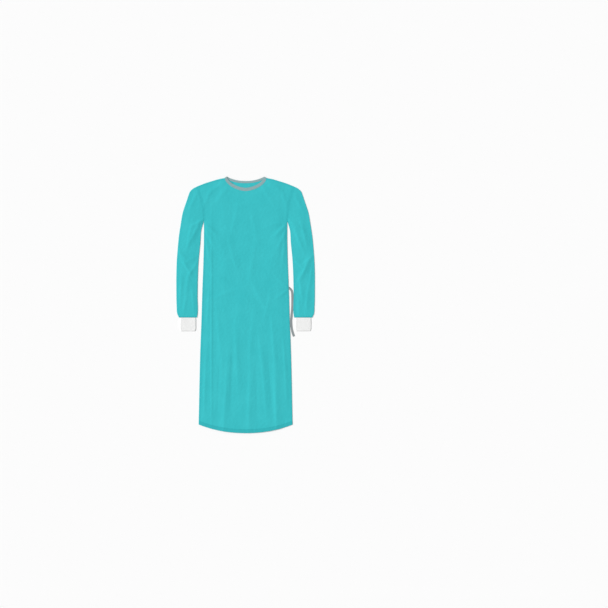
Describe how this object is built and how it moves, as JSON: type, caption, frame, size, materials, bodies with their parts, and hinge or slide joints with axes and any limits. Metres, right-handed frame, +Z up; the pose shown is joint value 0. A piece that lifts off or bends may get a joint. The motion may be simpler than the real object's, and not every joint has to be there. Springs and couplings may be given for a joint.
{
  "type": "surgical gown",
  "caption": "Long-sleeved surgical gown laid flat with its front up, with overlapping back panels, ribbed cuffs, a bound neck and waist ties.",
  "frame": {"origin": "on the surface that the gown lies on, under the middle of its outline", "axes": "+Y from the hem to the neck, +X toward the wearer's left sleeve, +Z up out of the gown's front"},
  "size_m": [0.693, 1.2826, 0.007],
  "materials": {
    "cloth": "matt teal nonwoven cloth with a fine bonded grain",
    "knit": "soft white rib knit",
    "binding": "matt pale grey binding",
    "tape": "matt grey flat tape"
  },
  "bodies": {
    "root": {"back_panel_right": "cloth", "back_panel_left": "cloth", "front_panel": "cloth", "sleeve_right": "cloth", "sleeve_left": "cloth", "cuff_right": "knit", "cuff_left": "knit", "neck_binding": "binding", "waist_tie_side": "tape", "waist_tie_back": "tape"}
  },
  "joints": []
}
